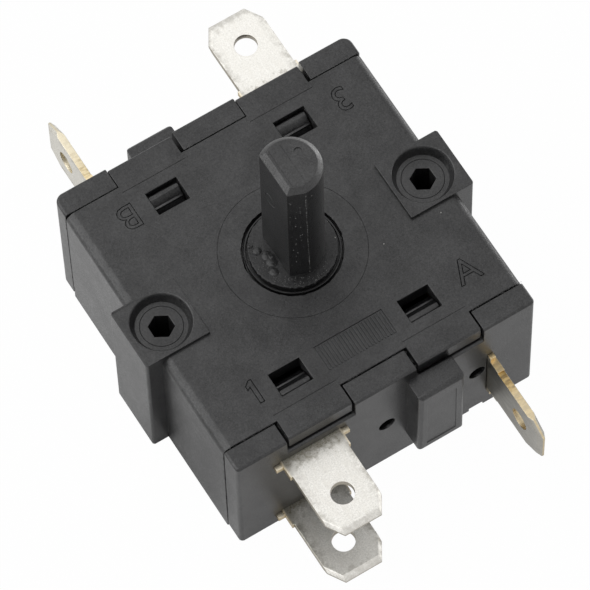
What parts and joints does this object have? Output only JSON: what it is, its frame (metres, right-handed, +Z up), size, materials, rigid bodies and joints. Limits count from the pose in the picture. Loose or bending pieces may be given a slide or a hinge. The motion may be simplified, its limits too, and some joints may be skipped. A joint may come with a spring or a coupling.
{
  "type": "rotary switch",
  "caption": "Panel rotary switch in a black two-piece housing, with a tall D-shaped shaft, screw ears and push-on blade terminals on both ends.",
  "frame": {"origin": "on the shaft axis, in the plane of the cover's lower edges, which is the object's lowest level", "axes": "+Z up the shaft; +X along the line through the two screw ears; +Y to the end with two blades"},
  "size_m": [0.0376, 0.054, 0.037],
  "materials": {
    "cover_plastic": "fine matte moulding, thermoplastic",
    "base_plastic": "fine matte moulding, thermoplastic",
    "rotor_plastic": "rougher matte moulding, thermoplastic",
    "plated_brass": "stamped strip, dull plating, sheared edges",
    "spring_strip": "copper alloy spring strip",
    "contact_metal": "silvery contact rivets",
    "detent_steel": "hard steel balls and spring wire"
  },
  "bodies": {
    "housing": {"cover": "cover_plastic", "base": "base_plastic", "terminal_front_upper": "plated_brass", "terminal_front_lower": "plated_brass", "terminal_rear_upper": "plated_brass", "terminal_front_common": "plated_brass", "terminal_rear_common": "plated_brass", "contact_arm_upper": "spring_strip", "arm_rivet_upper": "plated_brass", "moving_contact_upper": "contact_metal", "fixed_contact_upper": "contact_metal", "contact_arm_lower": "spring_strip", "arm_rivet_lower": "plated_brass", "moving_contact_lower": "contact_metal", "fixed_contact_lower": "contact_metal", "contact_arm_middle": "spring_strip", "arm_rivet_middle": "plated_brass", "moving_contact_middle": "contact_metal", "fixed_contact_middle": "contact_metal"},
    "rotor": {"rotor": "rotor_plastic", "detent_spring": "detent_steel"},
    "ball_right": {"detent_ball_right": "detent_steel"},
    "ball_left": {"detent_ball_left": "detent_steel"}
  },
  "joints": [
    {"name": "shaft_turn", "type": "hinge", "parent": "housing", "child": "rotor", "pos_m": [0, 0, 0.02], "axis": [0, 0, 1], "range_deg": [0, 270]},
    {"name": "ball_right_slide", "type": "slide", "parent": "rotor", "child": "ball_right", "axis": [1, 0, 0], "range_m": [0, 0.00045]},
    {"name": "ball_left_slide", "type": "slide", "parent": "rotor", "child": "ball_left", "axis": [-1, 0, 0], "range_m": [0, 0.00045]}
  ]
}
